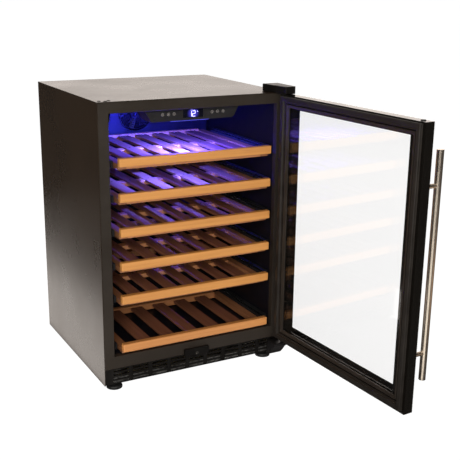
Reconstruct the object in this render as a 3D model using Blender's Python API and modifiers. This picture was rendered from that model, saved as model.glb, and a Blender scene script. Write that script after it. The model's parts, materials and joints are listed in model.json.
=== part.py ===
"""Under-counter wine cooler with its glass door open: a foamed steel cabinet, six beech shelves on
runners, a recessed control panel, a circulation fan, and the compressor and condenser in its base.

Metres, +Z up. The origin is the centre of the base pan's stamped flat, on the cabinet's underside.
The front faces -Y, and the door is hinged at +X. Every driving dimension is a constant below.
"""

from math import cos, pi, radians, sin

import bmesh
import bpy
from mathutils import Matrix, Vector

# Cabinet: the casing without feet, hinge cover and door.
WIDTH, DEPTH, HEIGHT = 0.595, 0.540, 0.830
FRONT, BACK = -DEPTH / 2, DEPTH / 2
SHEET = 0.0015
EDGE = 0.0008

# The clearance that touching parts keep, and how far a cutter runs past what it cuts.
GAP = 0.0003
PAST = 0.01

# Front frame: the stiles and rails around the mouth, with the vent grille below them.
STILE = 0.032
MOUTH_X = WIDTH / 2 - STILE
MOUTH_BOTTOM, MOUTH_TOP = 0.089, 0.798
FRAME_BOTTOM, FRAME_DEPTH = 0.051, 0.020

# Liner: the cavity's walls, with a step over the compressor at the bottom rear.
LINER_WALL = 0.002
LINER_BACK = FRONT + 0.480
STEP_FRONT, STEP_TOP = FRONT + 0.345, 0.225
BAY_FRONT, BAY_TOP = FRONT + 0.385, 0.187

# Base pan: a tray with a stamped flat in its middle.
PAN_FRONT, PAN_FLOOR, PAN_HIGH = FRONT + 0.006, 0.0015, 0.020
FLAT_HALF_X, FLAT_HALF_Y = 0.15, 0.10

# Rear panel, its louvres and the mains inlet.
REAR_PANEL_FRONT, REAR_PANEL_LOW = BACK - 0.0045, 0.003
LOUVRE_ROWS, LOUVRE_COLUMNS = 5, 4
LOUVRE_WIDTH, LOUVRE_HEIGHT = 0.045, 0.006
LOUVRE_MIDDLE, LOUVRE_LOWEST = 0.1025, 0.040
LOUVRE_ROW_PITCH, LOUVRE_COLUMN_PITCH = 0.025, 0.060
INLET_X, INLET_Z = -0.200, 0.095
INLET_HOLE = (0.024, 0.014)
INLET_FLANGE, INLET_FLANGE_THICK = (0.029, 0.019), 0.0022
INLET_SOCKET, INLET_SOCKET_DEPTH, INLET_DEPTH = (0.019, 0.009), 0.015, 0.024

# Vent grille: columns and rows of slots along the kick space.
GRILLE_LOW, GRILLE_HIGH, GRILLE_THICK, GRILLE_SET_BACK = 0.003, 0.0505, 0.003, 0.0005
GRILLE_COLUMNS, GRILLE_ROWS = 9, 4
SLOT_WIDTH, SLOT_HEIGHT = 0.0495, 0.0068
COLUMN_PITCH, ROW_PITCH = 0.0614, 0.0115

# Feet: threaded levellers through the base pan.
FOOT_X, FOOT_FRONT, FOOT_REAR = 0.256, FRONT + 0.034, BACK - 0.035
FOOT_RADIUS, FOOT_DROP = 0.024, 0.022
STUD_RADIUS, STUD_CLEARANCE, STUD_TOP = 0.004, 0.0004, 0.028
NECK_RADIUS, NECK_LOW = 0.010, -0.011

# Compressor and condenser.
CAN_RADIUS, CAN_TOP, CAN_DOME = 0.062, 0.148, 0.028
CAN_X, CAN_Y = 0.120, FRONT + 0.460
CAN_FOOT_X, CAN_FOOT_Y, CAN_FOOT_THICK = 0.075, 0.050, 0.003
COIL_PASSES, COIL_HALF, COIL_BEND, COIL_RADIUS = 7, 0.225, 0.022, 0.003
COIL_FRONT, COIL_HEIGHT, BEND_STEPS = FRONT + 0.050, 0.026, 6

# Door: measured from the hinge axis. ACROSS runs from the axis to the free edge, and OUT is
# towards the room, square to the glass.
AXIS_X, AXIS_Y = 0.2863, FRONT - 0.0367
OPEN_ANGLE = radians(93.4)
HINGE_EDGE, FREE_EDGE = AXIS_X - WIDTH / 2, AXIS_X + WIDTH / 2
DOOR_BOTTOM, DOOR_TOP = 0.0604, 0.829
GLASS_FACE, GLASS_THICK, GLASS_EDGE = 0.0073, 0.0032, 0.0006
FRAME_INNER = -0.0252
FRAME_BAR = 0.052
REBATE_BAR = 0.042
INNER_PANE_FACE = -0.022
INNER_PANE_THICK = 0.004
GASKET_FACE = -0.0364
GASKET_WIDTH = 0.019
GASKET_HINGE, GASKET_FREE = 0.001, 0.577
GASKET_BOTTOM, GASKET_TOP = 0.0695, 0.8255

# Hinges: sheet brackets whose pins reach into the door.
PIN_RADIUS, PIN_CLEARANCE, PIN_REACH = 0.0033, 0.0003, 0.017
BRACKET_THICK, BRACKET_LEFT, BRACKET_RIGHT = 0.003, 0.266, 0.2945
BRACKET_REAR, BRACKET_NOSE = FRONT + 0.045, 0.010
COVER_HIGH, COVER_LEFT, COVER_RIGHT = HEIGHT + 0.022, 0.244, 0.2965
COVER_REAR, COVER_NOSE, COVER_SHEET = FRONT + 0.052, FRONT - 0.052, 0.0018
LEAF_LOW, LEAF_HIGH, LEAF_LEFT, LEAF_RIGHT = 0.038, 0.043, 0.262, 0.2955
PLATE_LEFT, PLATE_LOW, COLLAR_RADIUS = 0.250, -0.003, 0.007

# Handle: a round bar on two posts.
HANDLE_ACROSS, HANDLE_OUT = 0.5527, 0.0624
HANDLE_LOW, HANDLE_HIGH, HANDLE_RADIUS = 0.129, 0.7515, 0.0095
POST_HEIGHTS, POST_RADIUS = (0.206, 0.660), 0.006

# Shelves: heights of the tops of the beech fronts, from the top shelf down.
SHELF_PITCH = 0.100
TOP_SHELF, LOWEST_SHELF = 0.675, 0.127
SHELF_TOPS = [TOP_SHELF - n * SHELF_PITCH for n in range(5)] + [LOWEST_SHELF]
TRIM_HALF, TRIM_HEIGHT, TRIM_THICK = 0.242, 0.0246, 0.018
TRIM_FACE, TRIM_ROUND = FRONT - 0.013, 0.0022
RACK_HALF, RAIL_WIDTH = 0.240, 0.025
RACK_FRONT = TRIM_FACE + TRIM_THICK + GAP
RACK_BACK, SHORT_RACK_BACK = FRONT + 0.437, FRONT + 0.312
REAR_RAIL_DEEP, TENON = 0.018, 0.003
SLAT_DROP, SLAT_THICK = 0.016, 0.008
RAIL_DROP, RAIL_BOTTOM_DROP, REAR_RAIL_DROP = 0.018, 0.034, 0.013
MIDDLE_RAIL = (FRONT + 0.200, FRONT + 0.230)
SLAT_COUNT, SLAT_WIDTH, SLAT_PITCH = 7, 0.036, 0.060
LOW_SLAT_COUNT, LOW_SLAT_WIDTH, LOW_SLAT_PITCH = 5, 0.040, 0.0775

# Runners: the channels screwed to the liner, which the shelves slide in.
RUNNER_DEEP, RUNNER_HIGH, RUNNER_WALL = 0.014, 0.028, 0.0015
RUNNER_TOP_DROP = 0.009
RUNNER_FRONT, RUNNER_BACK, SHORT_RUNNER_BACK = FRONT + 0.032, FRONT + 0.392, FRONT + 0.330

# Control panel: a box under the liner's ceiling with a sloping-sided face.
PANEL_FACE, PANEL_BACK = FRONT + 0.025, FRONT + 0.095
PANEL_TOP, PANEL_BOTTOM = MOUTH_TOP - 0.001, 0.762
PANEL_TOP_HALF, PANEL_BOTTOM_HALF = 0.150, 0.130
LIGHT_HALF, LIGHT_FRONT, LIGHT_BACK, LIGHT_DROP = 0.060, FRONT + 0.045, FRONT + 0.078, 0.005
DISPLAY_HALF, DISPLAY_LOW, DISPLAY_HIGH, DISPLAY_THICK = 0.032, 0.769, 0.793, 0.002
KEY_HEIGHT, KEY_RADIUS, KEY_LENGTH, KEY_PROUD = 0.782, 0.0044, 0.006, 0.0012
KEY_HOLE_DEPTH = 0.009
KEY_SPREAD = (0.060, 0.078, 0.096)
KEY_NAMES = ("key_power", "key_light", "key_scale", "key_up", "key_down", "key_set")

# Fan and its opening in the evaporator cover.
FAN_X, FAN_Z, FAN_OPENING = 0.0, 0.720, 0.055
FILTER_X = -0.145
HUB_RADIUS, ROTOR_GAP, ROTOR_THICK = 0.017, 0.005, 0.010
BLADES, BLADE_SIZE, BLADE_PLACE, BLADE_PITCH = 7, (0.034, 0.0016, 0.016), 0.0315, radians(28)
MOTOR_RADIUS, MOTOR_BAR = 0.014, (0.055, 0.003, 0.010)
COVER_FRONT, COVER_WALL, COVER_SIDE_GAP, COVER_LOW_GAP = FRONT + 0.456, 0.002, 0.003, 0.008

# Lock, under the door's lower edge.
LOCK_LEFT, LOCK_RIGHT, LOCK_LOW, LOCK_HIGH, LOCK_PROUD = -0.043, 0.038, 0.046, 0.0685, 0.0085
BARREL_X, BARREL_Z, BARREL_RADIUS, BARREL_PROUD = -0.0025, 0.053, 0.005, 0.0008
KEYWAY_HALF, KEYWAY_HIGH, KEYWAY_DEEP = 0.0006, 0.003, 0.003

ROUND_SIDES, SMALL_SIDES = 24, 16


def clear_scene():
    for obj in list(bpy.data.objects):
        bpy.data.objects.remove(obj, do_unlink=True)


def make_collection(name):
    collection = bpy.data.collections.new(name)
    bpy.context.scene.collection.children.link(collection)
    return collection


def make_material(name, colour, roughness, metallic=0.0, alpha=1.0):
    material = bpy.data.materials.new(name)
    material.use_nodes = True
    shader = material.node_tree.nodes["Principled BSDF"]
    shader.inputs["Base Color"].default_value = (*colour, 1.0)
    shader.inputs["Roughness"].default_value = roughness
    shader.inputs["Metallic"].default_value = metallic
    shader.inputs["Alpha"].default_value = alpha
    return material


def move_to(obj, collection):
    for old in list(obj.users_collection):
        old.objects.unlink(obj)
    collection.objects.link(obj)


def finish(obj, name, material, smooth=False):
    """Names a finished sub-part, gives it its material and files it with the other sub-parts."""
    obj.name = name
    obj.data.name = name
    obj.data.materials.clear()
    obj.data.materials.append(material)
    if smooth:
        obj.data.shade_smooth()
        obj.data.set_sharp_from_angle(angle=radians(35))
    move_to(obj, cooler)
    return obj


def box(low, high):
    """A box between two corners, with its origin at its centre."""
    low, high = Vector(low), Vector(high)
    bpy.ops.mesh.primitive_cube_add(size=1, location=(low + high) / 2)
    obj = bpy.context.object
    obj.data.transform(Matrix.Diagonal((*(high - low), 1.0)))
    return obj


def cylinder(radius, start, end, sides=ROUND_SIDES):
    """A cylinder between two points, with its origin midway."""
    start, end = Vector(start), Vector(end)
    bpy.ops.mesh.primitive_cylinder_add(
        radius=radius, depth=(end - start).length, vertices=sides, location=(start + end) / 2
    )
    obj = bpy.context.object
    obj.rotation_euler = (end - start).to_track_quat("Z", "Y").to_euler()
    return obj


# How a flat outline's two directions and its thickness lie in the model, for each extrusion axis.
OUTLINE_AXES = {
    "X": Matrix(((0, 0, 1, 0), (1, 0, 0, 0), (0, 1, 0, 0), (0, 0, 0, 1))),
    "Y": Matrix(((1, 0, 0, 0), (0, 0, -1, 0), (0, 1, 0, 0), (0, 0, 0, 1))),
    "Z": Matrix.Identity(4),
}


def prism(outline, axis, low, high):
    """A flat outline extruded along an axis. It is drawn in (y, z), (x, z) or (x, y)."""
    curve = bpy.data.curves.new("outline", "CURVE")
    curve.dimensions = "2D"
    curve.fill_mode = "BOTH"
    curve.extrude = (high - low) / 2
    spline = curve.splines.new("POLY")
    spline.points.add(len(outline) - 1)
    for point, (across, up) in zip(spline.points, outline):
        point.co = (across, up, 0.0, 1.0)
    spline.use_cyclic_u = True
    obj = bpy.data.objects.new("outline", curve)
    bpy.context.scene.collection.objects.link(obj)
    middle = {"X": (1, 0, 0), "Y": (0, 1, 0), "Z": (0, 0, 1)}[axis]
    obj.matrix_world = (
        Matrix.Translation(Vector(middle) * (low + high) / 2) @ OUTLINE_AXES[axis]
    )
    return as_mesh(obj)


def as_mesh(obj):
    """A curve object made a mesh object, with its caps welded to its sides."""
    bpy.context.view_layer.update()
    graph = bpy.context.evaluated_depsgraph_get()
    mesh = bpy.data.meshes.new_from_object(obj.evaluated_get(graph))
    work = bmesh.new()
    work.from_mesh(mesh)
    bmesh.ops.remove_doubles(work, verts=work.verts, dist=1e-6)
    bmesh.ops.recalc_face_normals(work, faces=work.faces)
    work.to_mesh(mesh)
    work.free()
    made = bpy.data.objects.new("mesh", mesh)
    made.matrix_world = obj.matrix_world
    bpy.context.scene.collection.objects.link(made)
    bpy.data.objects.remove(obj, do_unlink=True)
    return made


def tube(points, radius, resolution=2):
    """A round tube along a list of points, with closed ends."""
    curve = bpy.data.curves.new("tube", "CURVE")
    curve.dimensions = "3D"
    curve.bevel_depth = radius
    curve.bevel_resolution = resolution
    curve.use_fill_caps = True
    spline = curve.splines.new("POLY")
    spline.points.add(len(points) - 1)
    for point, place in zip(spline.points, points):
        point.co = (*place, 1.0)
    obj = bpy.data.objects.new("tube", curve)
    bpy.context.scene.collection.objects.link(obj)
    return as_mesh(obj)


def turned(profile, steps=ROUND_SIDES):
    """A solid of revolution about Z, from (radius, height) points running from top to bottom."""
    mesh = bpy.data.meshes.new("turned")
    points = [(radius, 0.0, height) for radius, height in profile]
    edges = [(n, n + 1) for n in range(len(profile) - 1)]
    mesh.from_pydata(points, edges, [])
    obj = bpy.data.objects.new("turned", mesh)
    bpy.context.scene.collection.objects.link(obj)
    screw = obj.modifiers.new("turn", "SCREW")
    screw.steps = screw.render_steps = steps
    screw.use_merge_vertices = True
    screw.merge_threshold = 1e-5
    screw.use_smooth_shade = True
    return obj


def shell(solid, open_towards, wall):
    """Opens a solid's faces towards the given directions and gives the rest a wall."""
    work = bmesh.new()
    work.from_mesh(solid.data)
    directions = [Vector(d) for d in open_towards]
    turn = solid.matrix_basis.to_3x3()
    faces = [f for f in work.faces if any((turn @ f.normal).dot(d) > 0.99 for d in directions)]
    bmesh.ops.delete(work, geom=faces, context="FACES")
    work.to_mesh(solid.data)
    work.free()
    thicken = solid.modifiers.new("wall", "SOLIDIFY")
    thicken.thickness = wall
    thicken.offset = -1.0
    thicken.use_even_offset = True
    return solid


def combine(target, operation, *tools):
    """Cuts the tools from the target, or joins them to it, with live Boolean modifiers."""
    for tool in tools:
        move_to(tool, cutters)
        tool.hide_render = True
        tool.display_type = "WIRE"
        tool.parent = target
        tool.matrix_parent_inverse = target.matrix_basis.inverted()
        modifier = target.modifiers.new(operation.lower(), "BOOLEAN")
        modifier.operation = operation
        modifier.object = tool
    return target


def cut(target, *tools):
    return combine(target, "DIFFERENCE", *tools)


def join(target, *tools):
    return combine(target, "UNION", *tools)


def repeat(obj, count, step):
    """Repeats a tool in a row, centred on its place."""
    obj.location -= Vector(step) * (count - 1) / 2
    row = obj.modifiers.new("row", "ARRAY")
    row.count = count
    row.use_relative_offset = False
    row.use_constant_offset = True
    row.constant_offset_displace = step
    return obj


def round_edges(obj, width, segments=2):
    """Rounds the sharp edges of a finished shape."""
    bevel = obj.modifiers.new("edges", "BEVEL")
    bevel.width = width
    bevel.segments = segments
    bevel.limit_method = "ANGLE"
    bevel.angle_limit = radians(50)
    return obj


def cavity(grow=0.0, forward=0.0):
    """The space inside the liner, grown outwards by a wall or a clearance and run past the mouth."""
    mouth = FRONT + FRAME_DEPTH + GAP - forward
    side = [
        (mouth, MOUTH_BOTTOM - grow),
        (STEP_FRONT + grow, MOUTH_BOTTOM - grow),
        (STEP_FRONT + grow, STEP_TOP - grow),
        (LINER_BACK + grow, STEP_TOP - grow),
        (LINER_BACK + grow, MOUTH_TOP + grow),
        (mouth, MOUTH_TOP + grow),
    ]
    return prism(side, "X", -MOUTH_X - grow, MOUTH_X + grow)


def build_outer_casing():
    block = box((-WIDTH / 2, FRONT, 0), (WIDTH / 2, BACK, HEIGHT))
    casing = shell(block, [(0, 0, -1), (0, -1, 0), (0, 1, 0)], SHEET)
    finish(round_edges(casing, EDGE), "outer_casing", bronze)


def build_base_pan():
    """A shallow tray with a stamped flat in its middle, holed for the four levelling feet."""
    half = WIDTH / 2 - SHEET - GAP
    tray = box((-half, PAN_FRONT, PAN_FLOOR), (half, REAR_PANEL_FRONT - GAP, PAN_HIGH))
    shell(tray, [(0, 0, 1)], SHEET)
    flat_low = (-FLAT_HALF_X, -FLAT_HALF_Y, 0.0)
    flat_high = (FLAT_HALF_X, FLAT_HALF_Y, PAN_FLOOR + SHEET / 2)
    join(tray, box(flat_low, flat_high))
    for x, y in foot_places():
        hole = cylinder(STUD_RADIUS + STUD_CLEARANCE, (x, y, -PAST), (x, y, PAST), SMALL_SIDES)
        cut(tray, hole)
    finish(tray, "base_pan", steel)


def build_rear_panel():
    """The sheet that closes the back, with louvres behind the compressor and a hole for the inlet."""
    half = WIDTH / 2 - SHEET - GAP
    front, rear = REAR_PANEL_FRONT, REAR_PANEL_FRONT + SHEET
    panel = box((-half, front, REAR_PANEL_LOW), (half, rear, HEIGHT - SHEET - GAP))
    left, right = LOUVRE_MIDDLE - LOUVRE_WIDTH / 2, LOUVRE_MIDDLE + LOUVRE_WIDTH / 2
    for row in range(LOUVRE_ROWS):
        z = LOUVRE_LOWEST + row * LOUVRE_ROW_PITCH
        slot = box((left, front - PAST, z), (right, rear + PAST, z + LOUVRE_HEIGHT))
        cut(panel, repeat(slot, LOUVRE_COLUMNS, (LOUVRE_COLUMN_PITCH, 0, 0)))
    cut(panel, inlet_box(INLET_HOLE, front - PAST, rear + PAST))
    finish(panel, "rear_panel", bronze)


def inlet_box(halves, front, rear):
    """A box centred on the mains inlet, from half its width and height."""
    x, z = halves
    return box((INLET_X - x, front, INLET_Z - z), (INLET_X + x, rear, INLET_Z + z))


def build_mains_inlet():
    """A flanged inlet in the rear panel, with a socket for a cord."""
    outside = REAR_PANEL_FRONT + SHEET + GAP
    body_halves = [half - GAP for half in INLET_HOLE]
    body = inlet_box(body_halves, outside - INLET_DEPTH, outside + INLET_FLANGE_THICK / 2)
    join(body, inlet_box(INLET_FLANGE, outside, outside + INLET_FLANGE_THICK))
    cut(body, inlet_box(INLET_SOCKET, outside - INLET_SOCKET_DEPTH, outside + PAST))
    finish(body, "mains_inlet", black_plastic)


def build_insulation_foam():
    """Foam between the casing and the liner, stepped over the compressor's bay."""
    half = WIDTH / 2 - SHEET - GAP
    mouth, rear, top = FRONT + FRAME_DEPTH + GAP, REAR_PANEL_FRONT - GAP, HEIGHT - SHEET - GAP
    outline = [
        (mouth, FRAME_BOTTOM),
        (BAY_FRONT, FRAME_BOTTOM),
        (BAY_FRONT, BAY_TOP),
        (rear, BAY_TOP),
        (rear, top),
        (mouth, top),
    ]
    foam = prism(outline, "X", -half, half)
    finish(cut(foam, cavity(LINER_WALL + GAP, forward=PAST)), "insulation_foam", foam_yellow)


def build_inner_liner():
    finish(cut(cavity(LINER_WALL), cavity(forward=PAST)), "inner_liner", dark_plastic)


def build_front_frame():
    half, top = WIDTH / 2 - SHEET - GAP, HEIGHT - SHEET - GAP
    frame = box((-half, FRONT, FRAME_BOTTOM), (half, FRONT + FRAME_DEPTH, top))
    mouth = box((-MOUTH_X, FRONT - PAST, MOUTH_BOTTOM), (MOUTH_X, FRONT + FRAME_DEPTH + PAST, MOUTH_TOP))
    finish(round_edges(cut(frame, mouth), EDGE, 1), "front_frame", bronze)


def build_vent_grille():
    half = WIDTH / 2 - SHEET - GAP
    front = FRONT + GRILLE_SET_BACK
    back = front + GRILLE_THICK
    plate = box((-half, front, GRILLE_LOW), (half, back, GRILLE_HIGH))
    middle = (GRILLE_LOW + GRILLE_HIGH) / 2
    for row in range(GRILLE_ROWS):
        z = middle + (row - (GRILLE_ROWS - 1) / 2) * ROW_PITCH
        slot = box(
            (-SLOT_WIDTH / 2, front - PAST, z - SLOT_HEIGHT / 2),
            (SLOT_WIDTH / 2, back + PAST, z + SLOT_HEIGHT / 2),
        )
        cut(plate, repeat(slot, GRILLE_COLUMNS, (COLUMN_PITCH, 0, 0)))
    finish(plate, "vent_grille", black_plastic)


def build_condenser():
    """A serpentine tube lying flat in the duct behind the vent grille."""
    points = []
    for n in range(COIL_PASSES):
        side = 1 if n % 2 else -1
        y = COIL_FRONT + n * 2 * COIL_BEND
        points.append((side * COIL_HALF, y, COIL_HEIGHT))
        points.append((-side * COIL_HALF, y, COIL_HEIGHT))
        if n == COIL_PASSES - 1:
            break
        for k in range(1, BEND_STEPS):
            turn = pi * k / BEND_STEPS
            x = -side * (COIL_HALF + COIL_BEND * sin(turn))
            points.append((x, y + COIL_BEND * (1 - cos(turn)), COIL_HEIGHT))
    finish(tube(points, COIL_RADIUS), "condenser", black_steel, smooth=True)


def build_compressor():
    """A domed steel can on a foot plate."""
    base = PAN_FLOOR + SHEET + GAP + CAN_FOOT_THICK
    quarter = [k * pi / 12 for k in range(7)]
    dome = [(CAN_RADIUS * sin(a), CAN_TOP - CAN_DOME * (1 - cos(a))) for a in quarter]
    foot = [(CAN_RADIUS, base + 0.022), (CAN_RADIUS * 0.8, base), (0.0, base)]
    can = turned(dome + foot)
    can.location = (CAN_X, CAN_Y, 0)
    plate = box(
        (CAN_X - CAN_FOOT_X, CAN_Y - CAN_FOOT_Y, base - CAN_FOOT_THICK),
        (CAN_X + CAN_FOOT_X, CAN_Y + CAN_FOOT_Y, base + 0.002),
    )
    finish(join(can, plate), "compressor", black_steel, smooth=True)


def hinge_rod(radius, low, high, sides=ROUND_SIDES):
    """An upright cylinder on the hinge axis."""
    return cylinder(radius, (AXIS_X, AXIS_Y, low), (AXIS_X, AXIS_Y, high), sides)


def build_upper_hinge():
    """The bracket on the casing's top, whose pin drops into the door, and the cover over it."""
    low = HEIGHT + GAP
    plate = box(
        (BRACKET_LEFT, AXIS_Y - BRACKET_NOSE, low), (BRACKET_RIGHT, BRACKET_REAR, low + BRACKET_THICK)
    )
    pin = hinge_rod(PIN_RADIUS, DOOR_TOP - PIN_REACH, low + BRACKET_THICK / 3, SMALL_SIDES)
    finish(join(plate, pin), "upper_hinge_bracket", steel)
    outline = [
        (COVER_LEFT, COVER_REAR),
        (COVER_LEFT + 0.018, COVER_NOSE),
        (COVER_RIGHT - 2 * COVER_SHEET, COVER_NOSE),
        (COVER_RIGHT, COVER_NOSE + 2 * COVER_SHEET),
        (COVER_RIGHT, COVER_REAR),
    ]
    cover = shell(prism(outline, "Z", low, COVER_HIGH), [(0, 0, -1)], COVER_SHEET)
    finish(round_edges(cover, COVER_SHEET / 3, 1), "upper_hinge_cover", black_plastic)


def build_lower_hinge():
    """An angle bracket on the cabinet's foot, with a collar that carries the door and a pin."""
    front, leaf_top = FRONT - GAP, LEAF_HIGH - 0.0005
    plate = box((PLATE_LEFT, front - BRACKET_THICK, PLATE_LOW), (LEAF_RIGHT, front, LEAF_HIGH))
    leaf = box((LEAF_LEFT, AXIS_Y, LEAF_LOW), (LEAF_RIGHT, front - BRACKET_THICK / 2, leaf_top))
    nose = hinge_rod(BRACKET_NOSE, LEAF_LOW, leaf_top)
    collar = hinge_rod(COLLAR_RADIUS, LEAF_LOW + 0.001, DOOR_BOTTOM - GAP)
    pin = hinge_rod(PIN_RADIUS, LEAF_HIGH, DOOR_BOTTOM + PIN_REACH, SMALL_SIDES)
    finish(join(plate, leaf, nose, collar, pin), "lower_hinge_bracket", black_steel)


def barrel_rod(radius, front, back):
    """A cylinder on the lock barrel's axis."""
    return cylinder(radius, (BARREL_X, front, BARREL_Z), (BARREL_X, back, BARREL_Z))


def build_lock():
    """The strike box under the door's lower edge, and the barrel that turns in it."""
    back = FRONT - GAP
    front = back - LOCK_PROUD
    housing = box((LOCK_LEFT, front, LOCK_LOW), (LOCK_RIGHT, back, LOCK_HIGH))
    socket = barrel_rod(BARREL_RADIUS + GAP, front - PAST, back - SHEET)
    finish(cut(housing, socket), "lock_housing", black_plastic)
    barrel = barrel_rod(BARREL_RADIUS, front - BARREL_PROUD, back - SHEET - GAP)
    keyway = box(
        (BARREL_X - KEYWAY_HALF, front - PAST, BARREL_Z - KEYWAY_HIGH),
        (BARREL_X + KEYWAY_HALF, front + KEYWAY_DEEP, BARREL_Z + KEYWAY_HIGH),
    )
    finish(cut(barrel, keyway), "lock_barrel", steel, smooth=True)


def key_places():
    across = [-x for x in reversed(KEY_SPREAD)] + list(KEY_SPREAD)
    return list(zip(KEY_NAMES, across))


def build_control_panel():
    """The panel's housing, with a rebate for the display window and a blind hole for each key."""
    outline = [
        (-PANEL_BOTTOM_HALF, PANEL_BOTTOM),
        (PANEL_BOTTOM_HALF, PANEL_BOTTOM),
        (PANEL_TOP_HALF, PANEL_TOP),
        (-PANEL_TOP_HALF, PANEL_TOP),
    ]
    panel = prism(outline, "Y", PANEL_FACE, PANEL_BACK)
    rebate = box(
        (-DISPLAY_HALF, PANEL_FACE - PAST, DISPLAY_LOW),
        (DISPLAY_HALF, PANEL_FACE + DISPLAY_THICK, DISPLAY_HIGH),
    )
    cut(panel, rebate)
    for _, x in key_places():
        start, end = (x, PANEL_FACE - PAST, KEY_HEIGHT), (x, PANEL_FACE + KEY_HOLE_DEPTH, KEY_HEIGHT)
        cut(panel, cylinder(KEY_RADIUS + GAP, start, end, SMALL_SIDES))
    finish(panel, "control_panel", dark_plastic)
    window = box(
        (-DISPLAY_HALF + GAP, PANEL_FACE - 0.0002, DISPLAY_LOW + GAP),
        (DISPLAY_HALF - GAP, PANEL_FACE + DISPLAY_THICK - GAP, DISPLAY_HIGH - GAP),
    )
    finish(window, "display_window", display_glass)
    light = box(
        (-LIGHT_HALF, LIGHT_FRONT, PANEL_BOTTOM - LIGHT_DROP), (LIGHT_HALF, LIGHT_BACK, PANEL_BOTTOM - GAP)
    )
    finish(light, "light_cover", diffuser)


def build_keys():
    for name, x in key_places():
        key = cylinder(
            KEY_RADIUS,
            (x, PANEL_FACE - KEY_PROUD, KEY_HEIGHT),
            (x, PANEL_FACE - KEY_PROUD + KEY_LENGTH, KEY_HEIGHT),
            SMALL_SIDES,
        )
        finish(key, name, black_plastic, smooth=True)


def build_evaporator_cover():
    """The back wall's air duct: a tray open to the rear, with round openings for fan and filter."""
    half = MOUTH_X - COVER_SIDE_GAP
    block = box(
        (-half, COVER_FRONT, STEP_TOP + COVER_LOW_GAP), (half, LINER_BACK - GAP, MOUTH_TOP - COVER_WALL)
    )
    cover = shell(block, [(0, 1, 0)], COVER_WALL)
    for x in (FAN_X, FILTER_X):
        start, end = (x, COVER_FRONT - PAST, FAN_Z), (x, COVER_FRONT + 3 * COVER_WALL, FAN_Z)
        cut(cover, cylinder(FAN_OPENING, start, end, ROUND_SIDES))
    finish(cover, "evaporator_cover", dark_plastic)


def build_fan():
    """A bladed rotor behind its opening, and the motor that holds it on the liner's back wall."""
    rotor_front = COVER_FRONT + ROTOR_GAP
    rotor_back = rotor_front + ROTOR_THICK
    hub = cylinder(HUB_RADIUS, (FAN_X, rotor_front, FAN_Z), (FAN_X, rotor_back, FAN_Z))
    reach = Matrix.Translation((BLADE_PLACE, 0, 0))
    pitch = Matrix.Rotation(BLADE_PITCH, 4, "X")
    for n in range(BLADES):
        bpy.ops.mesh.primitive_cube_add(size=1)
        blade = bpy.context.object
        spin = Matrix.Rotation(2 * pi * n / BLADES, 4, "Y")
        blade.data.transform(spin @ reach @ pitch @ Matrix.Diagonal((*BLADE_SIZE, 1.0)))
        blade.location = (FAN_X, (rotor_front + rotor_back) / 2, FAN_Z)
        join(hub, blade)
    finish(hub, "circulation_fan", black_plastic)
    motor = cylinder(MOTOR_RADIUS, (FAN_X, rotor_back + GAP, FAN_Z), (FAN_X, LINER_BACK - GAP, FAN_Z))
    half_wide, thick, half_high = MOTOR_BAR
    bar = box(
        (FAN_X - half_wide, LINER_BACK - thick, FAN_Z - half_high),
        (FAN_X + half_wide, LINER_BACK - GAP, FAN_Z + half_high),
    )
    finish(join(motor, bar), "fan_motor", black_steel)


def foot_places():
    return [(x, y) for y in (FOOT_FRONT, FOOT_REAR) for x in (-FOOT_X, FOOT_X)]


def build_feet():
    names = ("foot_front_left", "foot_front_right", "foot_rear_left", "foot_rear_right")
    profile = [
        (0.0, STUD_TOP),
        (STUD_RADIUS, STUD_TOP),
        (STUD_RADIUS, PAN_FLOOR - 0.001),
        (NECK_RADIUS, PAN_FLOOR - 0.001),
        (NECK_RADIUS, NECK_LOW),
        (FOOT_RADIUS - 0.002, -0.013),
        (FOOT_RADIUS, -0.016),
        (FOOT_RADIUS, -FOOT_DROP),
        (0.0, -FOOT_DROP),
    ]
    for name, (x, y) in zip(names, foot_places()):
        foot = turned(profile, SMALL_SIDES)
        foot.location = (x, y, 0)
        finish(foot, name, rubber)


def build_runners():
    """A channel on each side of every shelf, open towards it."""
    for n, top in enumerate(SHELF_TOPS, 1):
        back = SHORT_RUNNER_BACK if top == LOWEST_SHELF else RUNNER_BACK
        for side, name in ((-1, "left"), (1, "right")):
            wall = MOUTH_X - GAP
            lip, high = wall - RUNNER_DEEP, top - RUNNER_TOP_DROP
            low = high - RUNNER_HIGH
            channel = [
                (wall, low),
                (wall, high),
                (lip, high),
                (lip, high - RUNNER_WALL),
                (wall - RUNNER_WALL, high - RUNNER_WALL),
                (wall - RUNNER_WALL, low + RUNNER_WALL),
                (lip, low + RUNNER_WALL),
                (lip, low),
            ]
            outline = [(side * x, z) for x, z in channel]
            runner = prism(outline, "Y", RUNNER_FRONT, back)
            finish(runner, f"runner_{n}_{name}", black_steel)


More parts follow.
